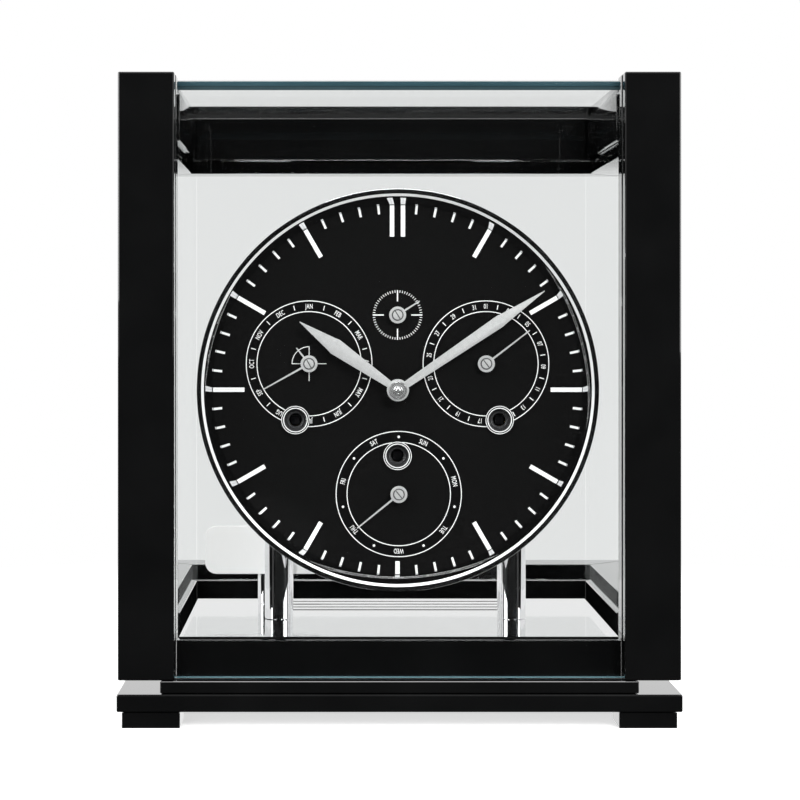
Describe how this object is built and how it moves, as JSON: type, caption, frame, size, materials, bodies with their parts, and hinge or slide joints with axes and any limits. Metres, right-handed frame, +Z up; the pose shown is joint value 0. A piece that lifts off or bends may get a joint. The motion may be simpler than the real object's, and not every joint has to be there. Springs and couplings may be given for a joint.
{
  "type": "perpetual calendar table clock",
  "caption": "Glass cased table clock with black lacquered posts, round columns, a black dial with small calendar dials, and a key wound movement.",
  "frame": {"origin": "on the surface that the clock stands on, under the middle of the base board", "axes": "+Z up, the dial faces -Y, +X to the right of someone who reads the dial"},
  "size_m": [0.2404, 0.1782, 0.2791],
  "materials": {
    "black_lacquer": "high gloss black lacquer",
    "clear_glass": "clear, with polished edges",
    "polished_metal": "mirror polished",
    "dial_paint": "satin black",
    "satin_steel": "satin",
    "dark_steel": "dark satin",
    "clock_brass": "polished"
  },
  "bodies": {
    "case": {"base_board": "black_lacquer", "foot_front_left": "black_lacquer", "foot_front_right": "black_lacquer", "foot_rear_left": "black_lacquer", "foot_rear_right": "black_lacquer", "plinth_board": "black_lacquer", "corner_post_left": "black_lacquer", "corner_post_right": "black_lacquer", "front_bottom_rail": "black_lacquer", "rear_bottom_rail": "black_lacquer", "left_bottom_rail": "black_lacquer", "right_bottom_rail": "black_lacquer", "rear_top_rail": "black_lacquer", "left_top_rail": "black_lacquer", "right_top_rail": "black_lacquer", "top_glass": "clear_glass", "left_glass": "clear_glass", "right_glass": "clear_glass", "rear_glass": "clear_glass", "floor_plate": "polished_metal", "support_column_left": "polished_metal", "support_column_right": "polished_metal", "movement_shelf": "dark_steel", "name_plate": "polished_metal", "name_plate_rod": "polished_metal", "dial_plate": "dial_paint", "dial_flange": "dial_paint", "bezel_ring": "polished_metal", "winding_grommet_left": "polished_metal", "winding_grommet_lower": "polished_metal", "winding_grommet_right": "polished_metal", "movement_front_plate": "clock_brass", "movement_back_plate": "clock_brass", "calendar_plate": "clock_brass", "balance_bridge": "satin_steel", "chime_rods": "clock_brass"},
    "front_pane": {"front_glass": "clear_glass"},
    "minute_set": {"centre_wheel": "clock_brass", "minute_hand": "satin_steel", "hand_nut": "polished_metal"},
    "hour_set": {"hour_wheel": "clock_brass", "hour_hand": "satin_steel"},
    "motion_set": {"minute_wheel": "clock_brass"},
    "seconds_set": {"seconds_wheel": "clock_brass", "seconds_hand": "satin_steel"},
    "going_drum": {"going_barrel": "clock_brass"},
    "strike_drum": {"strike_barrel": "clock_brass"},
    "chime_drum": {"chime_barrel": "clock_brass"},
    "going_winder": {"going_winding_arbor": "dark_steel"},
    "strike_winder": {"strike_winding_arbor": "dark_steel"},
    "chime_winder": {"chime_winding_arbor": "dark_steel"},
    "date_set": {"date_wheel": "clock_brass", "date_hand": "satin_steel"},
    "weekday_set": {"weekday_wheel": "clock_brass", "weekday_hand": "satin_steel"},
    "month_set": {"month_wheel": "clock_brass", "month_hand": "satin_steel"},
    "leap_set": {"leap_year_hand": "satin_steel"},
    "balance_set": {"balance_wheel": "clock_brass"},
    "hammer_set": {"strike_hammer": "dark_steel"}
  },
  "joints": [
    {"name": "front_glass_lift", "type": "slide", "parent": "case", "child": "front_pane", "axis": [0, 0, 1], "range_m": [0, 0.22]},
    {"name": "minute_turn", "type": "hinge", "parent": "case", "child": "minute_set", "pos_m": [0, -0.0544, 0.1429], "axis": [0, 1, 0], "continuous": true},
    {"name": "hour_turn", "type": "hinge", "parent": "case", "child": "hour_set", "pos_m": [0, -0.0544, 0.1429], "axis": [0, 1, 0], "continuous": true},
    {"name": "motion_work_turn", "type": "hinge", "parent": "case", "child": "motion_set", "pos_m": [0.0113, -0.0544, 0.1542], "axis": [0, 1, 0], "continuous": true},
    {"name": "seconds_turn", "type": "hinge", "parent": "case", "child": "seconds_set", "pos_m": [0, -0.0544, 0.1757], "axis": [0, 1, 0], "continuous": true},
    {"name": "going_barrel_turn", "type": "hinge", "parent": "case", "child": "going_drum", "pos_m": [0, -0.0544, 0.1139], "axis": [0, 1, 0], "continuous": true},
    {"name": "strike_barrel_turn", "type": "hinge", "parent": "case", "child": "strike_drum", "pos_m": [-0.0448, -0.0544, 0.1296], "axis": [0, 1, 0], "continuous": true},
    {"name": "chime_barrel_turn", "type": "hinge", "parent": "case", "child": "chime_drum", "pos_m": [0.0448, -0.0544, 0.1296], "axis": [0, 1, 0], "continuous": true},
    {"name": "going_winding", "type": "hinge", "parent": "case", "child": "going_winder", "pos_m": [0, -0.0544, 0.1139], "axis": [0, 1, 0], "continuous": true},
    {"name": "strike_winding", "type": "hinge", "parent": "case", "child": "strike_winder", "pos_m": [-0.0448, -0.0544, 0.1296], "axis": [0, 1, 0], "continuous": true},
    {"name": "chime_winding", "type": "hinge", "parent": "case", "child": "chime_winder", "pos_m": [0.0448, -0.0544, 0.1296], "axis": [0, 1, 0], "continuous": true},
    {"name": "date_turn", "type": "hinge", "parent": "case", "child": "date_set", "pos_m": [0.0388, -0.0544, 0.1543], "axis": [0, 1, 0], "continuous": true},
    {"name": "weekday_turn", "type": "hinge", "parent": "case", "child": "weekday_set", "pos_m": [0, -0.0544, 0.0971], "axis": [0, 1, 0], "continuous": true},
    {"name": "month_turn", "type": "hinge", "parent": "case", "child": "month_set", "pos_m": [-0.0388, -0.0544, 0.1543], "axis": [0, 1, 0], "continuous": true},
    {"name": "leap_year_turn", "type": "hinge", "parent": "case", "child": "leap_set", "pos_m": [-0.0388, -0.0544, 0.1543], "axis": [0, 1, 0], "continuous": true},
    {"name": "balance_swing", "type": "hinge", "parent": "case", "child": "balance_set", "pos_m": [0.03, -0.0544, 0.1729], "axis": [0, 1, 0], "range_deg": [-135, 135], "stiffness_Nm_per_rad": 0.00003},
    {"name": "hammer_lift", "type": "hinge", "parent": "case", "child": "hammer_set", "pos_m": [-0.012, -0.0544, 0.1569], "axis": [0, 1, 0], "range_deg": [0, 20], "stiffness_Nm_per_rad": 0.001}
  ],
  "couplings": [
    {"joint": "hour_turn", "follows": "minute_turn", "ratio": 0.083333},
    {"joint": "motion_work_turn", "follows": "minute_turn", "ratio": -0.33333},
    {"joint": "seconds_turn", "follows": "minute_turn", "ratio": 60},
    {"joint": "going_barrel_turn", "follows": "minute_turn", "ratio": 0.027778},
    {"joint": "weekday_turn", "follows": "date_turn", "ratio": 4.4286},
    {"joint": "month_turn", "follows": "date_turn", "ratio": 0.083333},
    {"joint": "leap_year_turn", "follows": "date_turn", "ratio": 0.020833}
  ]
}
